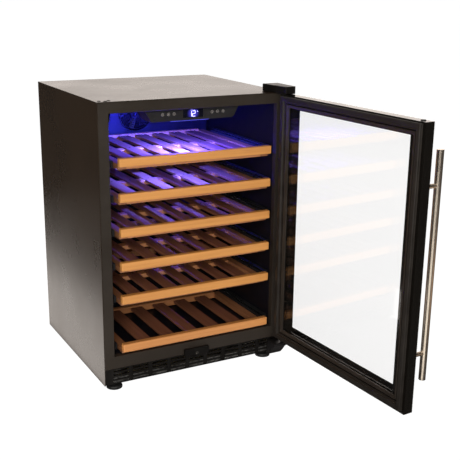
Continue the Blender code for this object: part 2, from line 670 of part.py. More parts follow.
def build_rack(number, top):
    """A slatted rack: side rails, cross rails and a row of slats let into them.

    The lowest rack is shorter, has fewer and wider slats, and has no middle rail.
    """
    lowest = top == LOWEST_SHELF
    back = SHORT_RACK_BACK if lowest else RACK_BACK
    if lowest:
        width, count, pitch = LOW_SLAT_WIDTH, LOW_SLAT_COUNT, LOW_SLAT_PITCH
    else:
        width, count, pitch = SLAT_WIDTH, SLAT_COUNT, SLAT_PITCH
    rail_top, rail_bottom, slat_top = top - RAIL_DROP, top - RAIL_BOTTOM_DROP, top - SLAT_DROP
    inner = RACK_HALF - RAIL_WIDTH
    rack = box((-RACK_HALF, RACK_FRONT, rail_bottom), (RACK_HALF, back, rail_top))
    opening = box(
        (-inner, RACK_FRONT + RAIL_WIDTH, rail_bottom - PAST), (inner, back - RAIL_WIDTH, rail_top + PAST)
    )
    cut(rack, opening)
    slat = box(
        (-width / 2, RACK_FRONT + TENON, slat_top - SLAT_THICK),
        (width / 2, back - RAIL_WIDTH + TENON, slat_top),
    )
    rear_low = (-RACK_HALF + 0.001, back - REAR_RAIL_DEEP, rail_top - 0.002)
    rear_high = (RACK_HALF - 0.001, back - 0.001, top - REAR_RAIL_DROP)
    join(rack, repeat(slat, count, (pitch, 0, 0)), box(rear_low, rear_high))
    if not lowest:
        middle_low = (-inner - 0.005, MIDDLE_RAIL[0], rail_bottom + 0.004)
        middle_high = (inner + 0.005, MIDDLE_RAIL[1], rail_top - 0.001)
        join(rack, box(middle_low, middle_high))
    finish(rack, f"shelf_rack_{number}", beech_brown)


def build_shelves():
    for number, top in enumerate(SHELF_TOPS, 1):
        build_rack(number, top)
        low = (-TRIM_HALF, TRIM_FACE, top - TRIM_HEIGHT)
        trim = box(low, (TRIM_HALF, TRIM_FACE + TRIM_THICK, top))
        finish(round_edges(trim, TRIM_ROUND), f"shelf_front_{number}", beech)


def door_box(across, out, up):
    """A box in the shut door's own directions, from pairs of limits."""
    return box((-across[1], -out[1], up[0]), (-across[0], -out[0], up[1]))


def door_inside(bar):
    """The door's outline, inset by a bar's width, and by three quarters of it at top and bottom."""
    across = (HINGE_EDGE + bar, FREE_EDGE - bar)
    return across, (DOOR_BOTTOM + 0.75 * bar, DOOR_TOP - 0.75 * bar)


def build_door_frame(glass_back):
    frame = door_box((HINGE_EDGE, FREE_EDGE), (FRAME_INNER, glass_back - GAP), (DOOR_BOTTOM, DOOR_TOP))
    opening_across, opening_up = door_inside(FRAME_BAR)
    rebate_across, rebate_up = door_inside(REBATE_BAR)
    rebate_back = INNER_PANE_FACE + INNER_PANE_THICK + GAP
    cut(
        frame,
        door_box(opening_across, (FRAME_INNER - PAST, glass_back + PAST), opening_up),
        door_box(rebate_across, (FRAME_INNER - PAST, rebate_back), rebate_up),
    )
    depth = PIN_REACH + 0.001
    for start, end in ((DOOR_BOTTOM - PAST, DOOR_BOTTOM + depth), (DOOR_TOP - depth, DOOR_TOP + PAST)):
        cut(frame, cylinder(PIN_RADIUS + PIN_CLEARANCE, (0, 0, start), (0, 0, end), SMALL_SIDES))
    return finish(frame, "door_frame", black_gloss)


def build_outer_pane(glass_back):
    pane = door_box((HINGE_EDGE, FREE_EDGE), (glass_back, GLASS_FACE), (DOOR_BOTTOM, DOOR_TOP))
    return finish(round_edges(pane, GLASS_EDGE, 1), "door_glass_outer", tinted_glass)


def build_inner_pane():
    (left, right), (low, high) = door_inside(REBATE_BAR)
    out = (INNER_PANE_FACE, INNER_PANE_FACE + INNER_PANE_THICK)
    pane = door_box((left + GAP, right - GAP), out, (low + GAP, high - GAP))
    return finish(pane, "door_glass_inner", clear_glass)


def build_gasket():
    out = (GASKET_FACE, FRAME_INNER - GAP)
    gasket = door_box((GASKET_HINGE, GASKET_FREE), out, (GASKET_BOTTOM, GASKET_TOP))
    hollow = door_box(
        (GASKET_HINGE + GASKET_WIDTH, GASKET_FREE - GASKET_WIDTH),
        (GASKET_FACE - PAST, FRAME_INNER + PAST),
        (GASKET_BOTTOM + GASKET_WIDTH, GASKET_TOP - GASKET_WIDTH),
    )
    return finish(cut(gasket, hollow), "door_gasket", rubber)


def build_handle():
    x, y = -HANDLE_ACROSS, -HANDLE_OUT
    bar = cylinder(HANDLE_RADIUS, (x, y, HANDLE_LOW), (x, y, HANDLE_HIGH))
    for z in POST_HEIGHTS:
        join(bar, cylinder(POST_RADIUS, (x, y, z), (x, -GLASS_FACE - GAP, z)))
    return finish(bar, "door_handle", brushed_steel, smooth=True)


def build_door():
    """The door's parts are drawn shut with the hinge axis at the origin, then hung on it, open."""
    pivot = bpy.data.objects.new("door_pivot", None)
    cooler.objects.link(pivot)
    pivot.location = (AXIS_X, AXIS_Y, 0)
    pivot.rotation_euler.z = OPEN_ANGLE
    glass_back = GLASS_FACE - GLASS_THICK
    parts = (
        build_door_frame(glass_back),
        build_outer_pane(glass_back),
        build_inner_pane(),
        build_gasket(),
        build_handle(),
    )
    for part in parts:
        part.parent = pivot


clear_scene()
cooler = make_collection("wine_cooler")
cutters = make_collection("cutters")

bronze = make_material("bronze_paint", (0.050, 0.042, 0.036), 0.42, 0.6)
steel = make_material("zinc_steel", (0.45, 0.45, 0.44), 0.40, 0.9)
black_steel = make_material("black_steel", (0.012, 0.012, 0.012), 0.45, 0.4)
brushed_steel = make_material("brushed_steel", (0.62, 0.60, 0.57), 0.28, 1.0)
black_plastic = make_material("black_plastic", (0.012, 0.012, 0.012), 0.45)
dark_plastic = make_material("liner_plastic", (0.020, 0.020, 0.024), 0.40)
black_gloss = make_material("door_black", (0.006, 0.006, 0.006), 0.12)
foam_yellow = make_material("foam", (0.75, 0.62, 0.30), 0.90)
diffuser = make_material("light_diffuser", (0.80, 0.85, 1.00), 0.30)
display_glass = make_material("display_glass", (0.005, 0.005, 0.010), 0.08)
tinted_glass = make_material("tinted_glass", (0.10, 0.10, 0.10), 0.04, alpha=0.35)
clear_glass = make_material("clear_glass", (0.85, 0.90, 0.88), 0.04, alpha=0.30)
rubber = make_material("rubber", (0.010, 0.010, 0.010), 0.65)
beech = make_material("beech_front", (0.72, 0.42, 0.16), 0.45)
beech_brown = make_material("beech_slats", (0.30, 0.15, 0.06), 0.55)

build_outer_casing()
build_base_pan()
build_rear_panel()
build_mains_inlet()
build_insulation_foam()
build_inner_liner()
build_front_frame()
build_vent_grille()
build_condenser()
build_compressor()
build_upper_hinge()
build_lower_hinge()
build_lock()
build_control_panel()
build_keys()
build_evaporator_cover()
build_fan()
build_feet()
build_runners()
build_shelves()
build_door()
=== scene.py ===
"""Looks of the under-counter wine cooler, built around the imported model: pieces, materials and lights.

Metres, in the CAD's frame: +Z up, the front faces -Y, the door is hinged at +X and stands open.
"""

import json
from math import cos, pi, radians, sin, tau

import bmesh
import bpy
from mathutils import Matrix, Vector


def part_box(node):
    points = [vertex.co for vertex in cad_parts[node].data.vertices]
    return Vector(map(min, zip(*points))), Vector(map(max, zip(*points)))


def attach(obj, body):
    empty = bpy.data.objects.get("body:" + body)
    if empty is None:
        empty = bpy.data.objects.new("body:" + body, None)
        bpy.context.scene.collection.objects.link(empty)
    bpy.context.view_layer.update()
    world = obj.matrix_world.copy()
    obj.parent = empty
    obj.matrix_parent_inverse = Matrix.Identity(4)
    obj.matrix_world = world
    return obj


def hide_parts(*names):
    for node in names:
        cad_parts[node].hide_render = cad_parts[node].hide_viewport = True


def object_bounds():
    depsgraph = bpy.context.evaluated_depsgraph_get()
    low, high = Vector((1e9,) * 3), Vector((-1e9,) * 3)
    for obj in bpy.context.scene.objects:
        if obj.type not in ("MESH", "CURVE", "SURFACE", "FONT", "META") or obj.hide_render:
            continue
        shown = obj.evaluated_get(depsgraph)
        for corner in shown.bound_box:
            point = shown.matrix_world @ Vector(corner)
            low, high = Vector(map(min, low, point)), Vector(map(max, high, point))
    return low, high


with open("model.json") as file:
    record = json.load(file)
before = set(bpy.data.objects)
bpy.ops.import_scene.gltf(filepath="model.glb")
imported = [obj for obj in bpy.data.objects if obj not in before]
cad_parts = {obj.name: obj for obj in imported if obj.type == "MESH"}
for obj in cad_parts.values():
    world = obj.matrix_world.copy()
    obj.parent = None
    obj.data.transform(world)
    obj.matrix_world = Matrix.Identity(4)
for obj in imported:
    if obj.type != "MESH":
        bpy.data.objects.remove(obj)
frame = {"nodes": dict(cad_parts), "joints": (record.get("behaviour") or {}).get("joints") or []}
CAD_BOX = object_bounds()

# ---------------------------------------------------------------- camera
SENSOR = 36.0
FAR = 400.0
FOCAL_SHARE = 860.4 / 460
CAMERA_PLACE = Vector((-1.0832, -2.4480, 1.1410))
AZIMUTH, ELEVATION, ROLL = radians(-28.743), radians(16.053), radians(0.774)


def make_camera():
    back = Vector((sin(AZIMUTH) * cos(ELEVATION), -cos(AZIMUTH) * cos(ELEVATION), sin(ELEVATION)))
    level = Vector((0, 0, 1)).cross(back).normalized()
    upright = back.cross(level)
    right = cos(ROLL) * level + sin(ROLL) * upright
    up = -sin(ROLL) * level + cos(ROLL) * upright
    data = bpy.data.cameras.new("camera")
    data.sensor_width = SENSOR
    data.lens = SENSOR * FOCAL_SHARE
    data.clip_end = FAR
    camera = bpy.data.objects.new("camera", data)
    bpy.context.scene.collection.objects.link(camera)
    camera.matrix_world = Matrix.Translation(CAMERA_PLACE) @ Matrix((right, up, back)).transposed().to_4x4()
    bpy.context.scene.camera = camera


make_camera()

# ---------------------------------------------------------------- places read from the frame
BOX = {name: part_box(name) for name in frame["nodes"]}
FRONT = BOX["front_frame"][0].y
HINGE = next(joint for joint in frame["joints"] if joint["name"] == "door_hinge")
OPEN_ANGLE = -radians(HINGE["range_deg"][0])
DOOR = Matrix.Translation((HINGE["pos_m"][0], HINGE["pos_m"][1], 0)) @ Matrix.Rotation(OPEN_ANGLE, 4, "Z")
WORLD = Matrix.Identity(4)
SHELVES = range(1, 7)
LOWEST = 6
# The door's edges: u runs from the hinge's axis to the free side, and z is up.
HINGE_EDGE, FREE_EDGE = -0.0112, 0.5838
DOOR_LOW, DOOR_HIGH = 0.0604, 0.829


# ---------------------------------------------------------------- materials
class Graph:
    """A material's nodes, with short ways to add to them."""

    def __init__(self, name, **sockets):
        self.material = bpy.data.materials.new(name)
        self.material.use_nodes = True
        self.tree = self.material.node_tree
        self.shader = self.tree.nodes["Principled BSDF"]
        self.output = self.tree.nodes["Material Output"]
        for key, value in sockets.items():
            self.shader.inputs[SOCKETS[key]].default_value = value

    def node(self, kind, values=(), **settings):
        made = self.tree.nodes.new(kind)
        for key, value in settings.items():
            setattr(made, key, value)
        for socket, value in dict(values).items():
            if isinstance(value, bpy.types.NodeSocket):
                self.tree.links.new(value, made.inputs[socket])
            else:
                made.inputs[socket].default_value = value
        return made

    def coords(self, stretch=(1, 1, 1)):
        place = self.node("ShaderNodeTexCoord").outputs["Object"]
        return self.node("ShaderNodeMapping", {"Vector": place, "Scale": stretch}).outputs["Vector"]

    def noise(self, scale, stretch=(1, 1, 1), detail=3.0, rough=0.55, warp=0.0):
        values = {"Vector": self.coords(stretch), "Scale": scale, "Detail": detail}
        values.update({"Roughness": rough, "Distortion": warp})
        return self.node("ShaderNodeTexNoise", values).outputs["Fac"]

    def spread(self, value, low, high, start=0.3, end=0.7):
        values = {"Value": value, "From Min": start, "From Max": end, "To Min": low, "To Max": high}
        return self.node("ShaderNodeMapRange", values).outputs["Result"]

    def maths(self, operation, first, second):
        return self.node("ShaderNodeMath", {0: first, 1: second}, operation=operation).outputs["Value"]

    def mix(self, share, first, second):
        values = {0: share, 6: first, 7: second}
        return self.node("ShaderNodeMix", values, data_type="RGBA").outputs[2]

    def bump(self, height, distance, strength=1.0, after=None):
        values = {"Height": height, "Distance": distance, "Strength": strength}
        if after is not None:
            values["Normal"] = after
        return self.node("ShaderNodeBump", values).outputs["Normal"]

    def link(self, **sockets):
        for key, socket in sockets.items():
            self.tree.links.new(socket, self.shader.inputs[SOCKETS[key]])
        return self


SOCKETS = {
    "colour": "Base Color",
    "rough": "Roughness",
    "metal": "Metallic",
    "specular": "Specular IOR Level",
    "coat": "Coat Weight",
    "coat_rough": "Coat Roughness",
    "aniso": "Anisotropic",
    "glow": "Emission Color",
    "glow_power": "Emission Strength",
    "normal": "Normal",
}


def rgb(red, green, blue):
    return (red, green, blue, 1.0)


def lighter(colour, times, plus=0.0):
    return rgb(*(times * c + plus for c in colour))


def paint(name, dark, light, rough, specular=0.5):
    """Satin powder coat: orange peel, faint clouding, and a sheen that varies."""
    g = Graph(name, specular=specular)
    cloud = g.noise(5.0, detail=4.0)
    fleck = g.noise(420.0, detail=2.0)
    colour = g.mix(g.spread(cloud, 0.0, 1.0), rgb(*dark), rgb(*light))
    colour = g.mix(g.spread(fleck, 0.0, 0.06, 0.55, 0.75), colour, lighter(light, 1.4))
    uneven = g.spread(g.noise(60.0), -0.008, 0.008)
    sheen = g.maths("ADD", g.spread(cloud, rough - 0.03, rough + 0.04), uneven)
    waves = g.bump(g.noise(3.2, detail=1.0), 0.0016, 0.35)
    normal = g.bump(g.noise(1500.0, detail=2.0), 0.000012, 0.3, after=waves)
    return g.link(colour=colour, rough=sheen, normal=normal).material


def moulded(name, colour, rough, grain=1400.0, depth=0.00003, specular=0.5):
    """Moulded plastic with a fine texture and scuffs that catch light."""
    g = Graph(name, specular=specular)
    scuff = g.noise(38.0, stretch=(1, 1, 0.35), detail=5.0, rough=0.7)
    tone = g.mix(g.spread(scuff, 0.0, 0.6, 0.45, 0.75), rgb(*colour), lighter(colour, 1.8, 0.002))
    wear = g.spread(scuff, rough - 0.05, rough + 0.1)
    return g.link(colour=tone, rough=wear, normal=g.bump(g.noise(grain, detail=2.0), depth, 0.6)).material


def gloss(name, colour, rough=0.1, specular=0.5):
    """Gloss black plastic with faint moulding waves, wiped dust and fingerprints."""
    g = Graph(name, specular=specular)
    smudge = g.noise(14.0, stretch=(1, 1, 0.5), detail=6.0, rough=0.65)
    dust = g.spread(g.noise(240.0, detail=4.0), 0.0, 0.5, 0.62, 0.78)
    tone = g.mix(dust, rgb(*colour), lighter(colour, 2.5, 0.004))
    normal = g.bump(g.noise(9.0, detail=1.0), 0.0006, 0.25)
    return g.link(colour=tone, rough=g.spread(smudge, rough, rough + 0.12), normal=normal).material


def rubbery(name, colour):
    """Matt flexible vinyl, with extrusion lines, a little dust and a dry bloom."""
    g = Graph(name, specular=0.4)
    bloom = g.noise(22.0, detail=6.0, rough=0.7)
    tone = g.mix(g.spread(bloom, 0.0, 0.7, 0.4, 0.75), rgb(*colour), lighter(colour, 2.2, 0.003))
    normal = g.bump(g.noise(900.0, detail=3.0), 0.00005, 0.6)
    return g.link(colour=tone, rough=g.spread(bloom, 0.42, 0.6), normal=normal).material


def brushed(name, colour, stretch, rough=0.24, aniso=0.55):
    """Brushed metal: fine scratches along the axis where stretch is small."""
    g = Graph(name, metal=1.0, aniso=aniso)
    scratch = g.noise(900.0, stretch=stretch, detail=4.0, rough=0.7)
    stain = g.noise(11.0, detail=4.0)
    tone = g.mix(g.spread(scratch, 0.0, 1.0), lighter(colour, 0.86), rgb(*colour))
    sheen = g.maths("ADD", g.spread(scratch, rough - 0.05, rough + 0.07), g.spread(stain, -0.03, 0.05))
    return g.link(colour=tone, rough=sheen, normal=g.bump(scratch, 0.00002, 0.5)).material


def galvanised(name):
    """Zinc-plated sheet with its spangle and dull patches."""
    g = Graph(name, metal=1.0)
    cells = g.node("ShaderNodeTexVoronoi", {"Vector": g.coords(), "Scale": 130.0}).outputs["Color"]
    grey = g.node("ShaderNodeRGBToBW", {"Color": cells}).outputs["Val"]
    tone = g.mix(g.spread(grey, 0.0, 1.0), rgb(0.40, 0.40, 0.39), rgb(0.60, 0.60, 0.58))
    dull = g.maths("ADD", g.spread(grey, 0.30, 0.42), g.spread(g.noise(9.0), 0.0, 0.12))
    return g.link(colour=tone, rough=dull, normal=g.bump(g.noise(300.0), 0.00002)).material


def enamel(name, colour, rough=0.35):
    """Black enamel on steel, a little runny and dusty."""
    g = Graph(name, specular=0.5)
    runs = g.noise(30.0, detail=5.0)
    tone = g.mix(g.spread(runs, 0.0, 0.6), rgb(*colour), lighter(colour, 2.0, 0.004))
    normal = g.bump(g.noise(180.0), 0.0001, 0.4)
    return g.link(colour=tone, rough=g.spread(runs, rough - 0.06, rough + 0.1), normal=normal).material


def wood(name, pale, mid, deep, along, rough=0.4, coat=0.15, pitch=0.060):
    """Beech with its grain along X or Y: growth rings, short dark rays, and a tone that changes by board.

    pitch is the distance from board to board."""
    g = Graph(name, coat=coat, coat_rough=0.3)
    grain = (1, 30, 30) if along == "X" else (30, 1, 30)
    pores = (1, 55, 55) if along == "X" else (55, 1, 55)
    rings = g.noise(2.6, stretch=grain, detail=5.0, rough=0.6, warp=0.6)
    rays = g.noise(9.0, stretch=pores, detail=4.0, rough=0.75)
    board = g.node("ShaderNodeSeparateXYZ", {"Vector": g.coords()}).outputs["Z" if along == "X" else "X"]
    step = g.maths("FLOOR", g.maths("DIVIDE", g.maths("ADD", board, pitch / 2), pitch), 0.0)
    lot = g.node("ShaderNodeTexWhiteNoise", {"W": step}, noise_dimensions="1D").outputs["Value"]
    tone = g.mix(g.spread(rings, 0.0, 1.0, 0.32, 0.68), rgb(*pale), rgb(*mid))
    tone = g.mix(g.spread(rays, 0.0, 0.75, 0.56, 0.78), tone, rgb(*deep))
    tone = g.mix(g.spread(lot, 0.0, 0.28, 0.0, 1.0), tone, rgb(*mid))
    sheen = g.maths("ADD", g.spread(rings, rough - 0.05, rough + 0.06), g.spread(rays, 0.0, 0.08))
    return g.link(colour=tone, rough=sheen, normal=g.bump(rays, 0.00006, 0.5)).material


def glass(name, tint, straight=0.035, haze=0.02):
    """Thin window glass: it lets light through, mirrors more at a slant, and carries faint smears."""
    g = Graph(name)
    clear = g.node("ShaderNodeBsdfTransparent", {"Color": rgb(*tint)}).outputs["BSDF"]
    smear = g.spread(g.noise(7.0, stretch=(1, 1, 0.4), detail=6.0), haze * 0.4, haze * 1.8)
    shine = g.node("ShaderNodeBsdfAnisotropic", {"Color": rgb(1, 1, 1), "Roughness": smear}).outputs["BSDF"]
    slant = g.node("ShaderNodeLayerWeight", {"Blend": 0.5}).outputs["Facing"]
    share = g.maths("ADD", g.maths("MULTIPLY", g.maths("POWER", slant, 5.0), 1.0 - straight), straight)
    both = g.node("ShaderNodeMixShader", {0: share, 1: clear, 2: shine}).outputs["Shader"]
    g.tree.nodes.remove(g.shader)
    g.tree.links.new(both, g.output.inputs["Surface"])
    return g.material


def lit(name, colour, glow, power):
    """A surface that gives light, a little unevenly."""
    g = Graph(name, colour=rgb(*colour), rough=0.35, glow_power=power)
    hot = g.mix(g.spread(g.noise(200.0), 0.0, 1.0), lighter(glow, 0.8), rgb(*glow))
    return g.link(glow=hot).material


# Casing and front frame wear one bronze paint, here in two copies: the frame's lighter, greyer copy is
# painted light on the front, and the casing's darker, browner copy is painted shade on the sides.
CASING_SHADED_PAINT = paint("casing_bronze", (0.018, 0.0095, 0.0040), (0.025, 0.0135, 0.006), 0.28, specular=0.55)
FRAME_LIT_PAINT = paint("frame_bronze", (0.024, 0.0180, 0.0130), (0.033, 0.0255, 0.019), 0.36)
LINER = moulded("liner_plastic", (0.006, 0.006, 0.009), 0.34, grain=700.0, depth=0.00002, specular=0.22)
PANEL = moulded("panel_plastic", (0.012, 0.011, 0.012), 0.45)
BLACK = moulded("black_plastic", (0.0055, 0.0045, 0.0038), 0.40, specular=0.35)
GLOSS = gloss("door_gloss", (0.005, 0.004, 0.003))
PRINT = gloss("printed_border", (0.006, 0.005, 0.0045), 0.16)
RUBBER = rubbery("gasket_vinyl", (0.013, 0.0100, 0.0075))
LEDGE = moulded("ledge_vinyl", (0.022, 0.0165, 0.012), 0.40)
SOLE = rubbery("foot_rubber", (0.010, 0.010, 0.010))
HANDLE = brushed("handle_steel", (0.92, 0.82, 0.70), (1, 1, 0.02), 0.26, 0.0)
BRIGHT = brushed("turned_steel", (0.70, 0.68, 0.65), (1, 1, 1), 0.2, 0.0)
ZINC = galvanised("zinc_sheet")
ENAMEL = enamel("black_enamel", (0.006, 0.005, 0.005))
RUNNER = enamel("runner_black", (0.012, 0.012, 0.013), 0.3)
TRIM_WOOD = {"along": "X", "rough": 0.46, "coat": 0.06, "pitch": 0.1}
BEECH = wood("beech_front", (0.68, 0.310, 0.078), (0.56, 0.235, 0.053), (0.38, 0.14, 0.035), **TRIM_WOOD)
# The lowest shelf's front is the same beech as the others, made darker: painted shade.
SHADED_BEECH = wood(
    "beech_front_low", (0.66, 0.28, 0.08), (0.52, 0.21, 0.055), (0.34, 0.125, 0.032), **TRIM_WOOD
)
SLAT = wood(
    "beech_slats", (0.25, 0.098, 0.052), (0.18, 0.066, 0.034), (0.09, 0.032, 0.016), "Y",
    rough=0.42, coat=0.08,
)
RAIL = wood(
    "beech_rails", (0.54, 0.23, 0.090), (0.42, 0.17, 0.062), (0.24, 0.09, 0.032), "X",
    rough=0.42, pitch=0.025,
)
SIDE_RAIL = wood(
    "beech_side_rails", (0.34, 0.145, 0.062), (0.25, 0.10, 0.042), (0.14, 0.055, 0.022), "Y", rough=0.42
)
OUTER_GLASS = glass("outer_glass", (1.0, 1.0, 1.0), 0.034, 0.004)
INNER_GLASS = glass("inner_glass", (1.0, 1.0, 1.0), 0.034, 0.004)
FOAM = moulded("rigid_foam", (0.62, 0.48, 0.20), 0.8, grain=300.0, depth=0.0004)
WINDOW = gloss("display_window", (0.006, 0.006, 0.012), 0.08)
DIFFUSER = lit("led_diffuser", (0.10, 0.11, 0.16), (0.05, 0.05, 1.0), 0.8)
DIGIT = lit("lit_digits", (0.6, 0.65, 0.9), (0.32, 0.29, 1.0), 2.6)
# The key icons are pale print; their faint warm glow is painted light that keeps the print bright.
ICON_PAINTED_GLOW = lit("key_icons", (0.35, 0.32, 0.30), (0.50, 0.46, 0.42), 0.25)

NODE_LOOKS = {
    "outer_casing": CASING_SHADED_PAINT, "rear_panel": CASING_SHADED_PAINT, "front_frame": FRAME_LIT_PAINT, "base_pan": ZINC,
    "insulation_foam": FOAM, "inner_liner": LINER, "evaporator_cover": LINER, "control_panel": PANEL,
    "vent_grille": BLACK, "upper_hinge_cover": BLACK, "upper_hinge_bracket": ZINC,
    "lower_hinge_bracket": ENAMEL, "lock_housing": BLACK, "lock_barrel": BRIGHT,
    "display_window": WINDOW, "light_cover": DIFFUSER, "fan_motor": ENAMEL, "circulation_fan": BLACK,
    "compressor": ENAMEL, "condenser": ENAMEL, "mains_inlet": BLACK,
    "door_frame": GLOSS, "door_glass_outer": OUTER_GLASS, "door_glass_inner": INNER_GLASS,
    "door_handle": HANDLE, "door_gasket": RUBBER,
}


# Nodes of one kind, by how their names start.
KIND_LOOKS = {"runner_": RUNNER, "key_": PANEL, "foot_": SOLE, "shelf_rack": SLAT, "shelf_front": BEECH}


def look_of(node):
    for start, material in KIND_LOOKS.items():
        if node.startswith(start):
            return material
    return NODE_LOOKS[node]


def dress_nodes():
    for name, obj in frame["nodes"].items():
        obj.data.materials.clear()
        obj.data.materials.append(look_of(name))


dress_nodes()


# ---------------------------------------------------------------- mesh helpers
SHARP_ANGLE = 35.0


def make_piece(name, mesh, material, body, replaced=(), place=WORLD):
    """Turns a bmesh into a piece that rides on a body, with smooth shading between its soft edges."""
    bmesh.ops.recalc_face_normals(mesh, faces=mesh.faces)
    data = bpy.data.meshes.new(name)
    mesh.to_mesh(data)
    mesh.free()
    data.shade_smooth()
    data.set_sharp_from_angle(angle=radians(SHARP_ANGLE))
    data.materials.append(material)
    obj = bpy.data.objects.new(name, data)
    bpy.context.scene.collection.objects.link(obj)
    obj.matrix_world = place
    weighted = obj.modifiers.new("flat faces", "WEIGHTED_NORMAL")
    weighted.keep_sharp = True
    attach(obj, body)
    if replaced:
        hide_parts(*replaced)


def soften(mesh, edges, width, segments):
    if width:
        bevel = {"offset": width, "offset_type": "OFFSET", "segments": segments, "profile": 0.5}
        bmesh.ops.bevel(mesh, geom=edges, affect="EDGES", clamp_overlap=True, **bevel)


def add_cube(mesh, place, size):
    return bmesh.ops.create_cube(mesh, size=1.0, matrix=place @ Matrix.Diagonal((*size, 1)))


def add_box(mesh, low, high, round_by=0.0, segments=2):
    middle = (Vector(low) + Vector(high)) / 2
    made = add_cube(mesh, Matrix.Translation(middle), Vector(high) - Vector(low))
    soften(mesh, list({e for v in made["verts"] for e in v.link_edges}), round_by, segments)


AXES = {"X": (1, 2, 0), "Y": (0, 2, 1), "Z": (0, 1, 2)}


def add_prism(mesh, outline, axis, low, high, round_by=0.0, segments=2):
    """A closed outline, given in the two other axes in order, pushed along an axis."""
    first, second, along = AXES[axis]
    rings = []
    for reach in (low, high):
        ring = []
        for a, b in outline:
            point = [0.0, 0.0, 0.0]
            point[first], point[second], point[along] = a, b, reach
            ring.append(mesh.verts.new(point))
        rings.append(ring)
    faces = [mesh.faces.new(rings[0]), mesh.faces.new(list(reversed(rings[1])))]
    for n in range(len(outline)):
        m = (n + 1) % len(outline)
        faces.append(mesh.faces.new((rings[0][n], rings[0][m], rings[1][m], rings[1][n])))
    soften(mesh, list({e for f in faces for e in f.edges}), round_by, segments)


def add_turned(mesh, profile, place, steps=32, closed=False):
    """A profile of (radius, height) turned about the place's Z. An open one starts and ends on the axis."""
    rings = []
    for radius, height in profile:
        if radius == 0:
            rings.append([mesh.verts.new(place @ Vector((0, 0, height)))])
            continue
        turns = (tau * n / steps for n in range(steps))
        spots = (Vector((radius * cos(a), radius * sin(a), height)) for a in turns)
        rings.append([mesh.verts.new(place @ spot) for spot in spots])
    pairs = list(zip(rings, rings[1:]))
    if closed:
        pairs.append((rings[-1], rings[0]))
    for one, two in pairs:
        for n in range(steps):
            m = (n + 1) % steps
            corners = [one[n % len(one)], one[m % len(one)], two[m % len(two)], two[n % len(two)]]
            unique = list(dict.fromkeys(corners))
            if len(unique) > 2:
                mesh.faces.new(unique)


def facing(point, direction):
    """A placement whose Z looks along a direction from a point."""
    return Matrix.Translation(point) @ Vector(direction).to_track_quat("Z", "Y").to_matrix().to_4x4()


def add_rod(mesh, start, end, radius, steps=24, edge=0.0006):
    start, end = Vector(start), Vector(end)
    length = (end - start).length
    half = [(0, 0), (radius - edge, 0), (radius, edge)]
    far_half = [(radius, length - edge), (radius - edge, length), (0, length)]
    add_turned(mesh, half + far_half, facing(start, end - start), steps)


def add_frame(mesh, left, right, low, high, profile):
    """A mitred frame in the door's plane: a closed profile of (inset, out) carried round a rectangle."""
    loops = []
    for inset, out in profile:
        u0, u1, z0, z1 = left + inset, right - inset, low + inset, high - inset
        corners = ((u0, z0), (u1, z0), (u1, z1), (u0, z1))
        loops.append([mesh.verts.new((-u, -out, z)) for u, z in corners])
    for n in range(len(loops)):
        one, two = loops[n], loops[(n + 1) % len(loops)]
        for k in range(4):
            m = (k + 1) % 4
            mesh.faces.new((one[k], one[m], two[m], two[k]))


# ---------------------------------------------------------------- shelves
# Slat count, width and pitch of an upper rack, and of the lowest.
SLATS, LOW_SLATS = (7, 0.036, 0.060), (5, 0.040, 0.0775)
SLAT_THICK, SLAT_DROP, RAIL_DROP = 0.008, 0.016, 0.018
SIDE_RAIL_WIDTH, FRONT_RAIL_WIDTH, BACK_RAIL_WIDTH = 0.025, 0.022, 0.018
MIDDLE_RAIL = (FRONT + 0.200, FRONT + 0.230)
SCREW_IN_FRONT, SCREW_IN_BACK = 0.011, 0.030
SCREW_HEAD = [
    (0, 0.0002), (0.0009, 0.0002), (0.0012, 0.0005), (0.0024, 0.0006), (0.0028, 0.0002), (0.0028, -0.001),
    (0, -0.001),
]
SLIDE_X, FLANGE_X, SLIDE_HALF = (0.2425, 0.2496), 0.2395, 0.010
CAGE_X, CAGE_HALF_THICK, CAGE_HALF, CAGE_REACH = 0.2555, 0.0004, 0.009, (0.12, 0.27)
BALLS, BALL_START, BALL_PITCH, BALL_RISE, BALL_RADIUS = 13, 0.126, 0.0115, 0.0065, 0.0022


def rectangle(x0, x1, z0, z1):
    return [(x0, z0), (x1, z0), (x1, z1), (x0, z1)]


